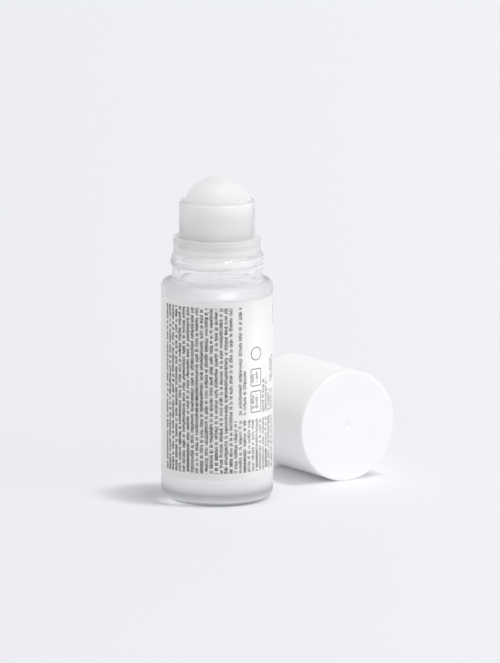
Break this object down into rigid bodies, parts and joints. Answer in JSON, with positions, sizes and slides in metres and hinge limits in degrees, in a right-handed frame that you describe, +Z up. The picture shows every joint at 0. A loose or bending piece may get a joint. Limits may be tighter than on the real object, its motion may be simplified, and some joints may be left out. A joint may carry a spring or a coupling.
{
  "type": "roll-on bottle",
  "caption": "Round frosted glass bottle with a ball applicator in its clear threaded neck, a wrap-round label and a double-walled screw cap laid beside it.",
  "frame": {"origin": "middle of the bottle's base, on the surface that the bottle stands on", "axes": "+Z up the bottle's axis; the cap lies at +X and +Y, behind and to the right of the bottle as seen along +Y"},
  "size_m": [0.0793, 0.0877, 0.1108],
  "materials": {
    "glass": "acid-frosted outside from the heel to the shoulder, clear neck",
    "label": null,
    "housing": "natural translucent polypropylene",
    "ball": "white polypropylene, satin",
    "cap": "white polypropylene, satin",
    "liner": "white polypropylene, satin"
  },
  "bodies": {
    "bottle": {"glass_bottle": "glass", "label": "label", "ball_housing": "housing"},
    "ball": {"roller_ball": "ball"},
    "cap": {"cap_shell": "cap", "cap_liner": "liner"}
  },
  "joints": [
    {"name": "ball_roll", "type": "hinge", "parent": "bottle", "child": "ball", "pos_m": [0, 0, 0.0988], "axis": [1, 0, 0], "continuous": true},
    {"name": "cap_lift", "type": "slide", "parent": "bottle", "child": "cap", "axis": [0, 0, 1], "range_m": [0, 0.12]}
  ]
}
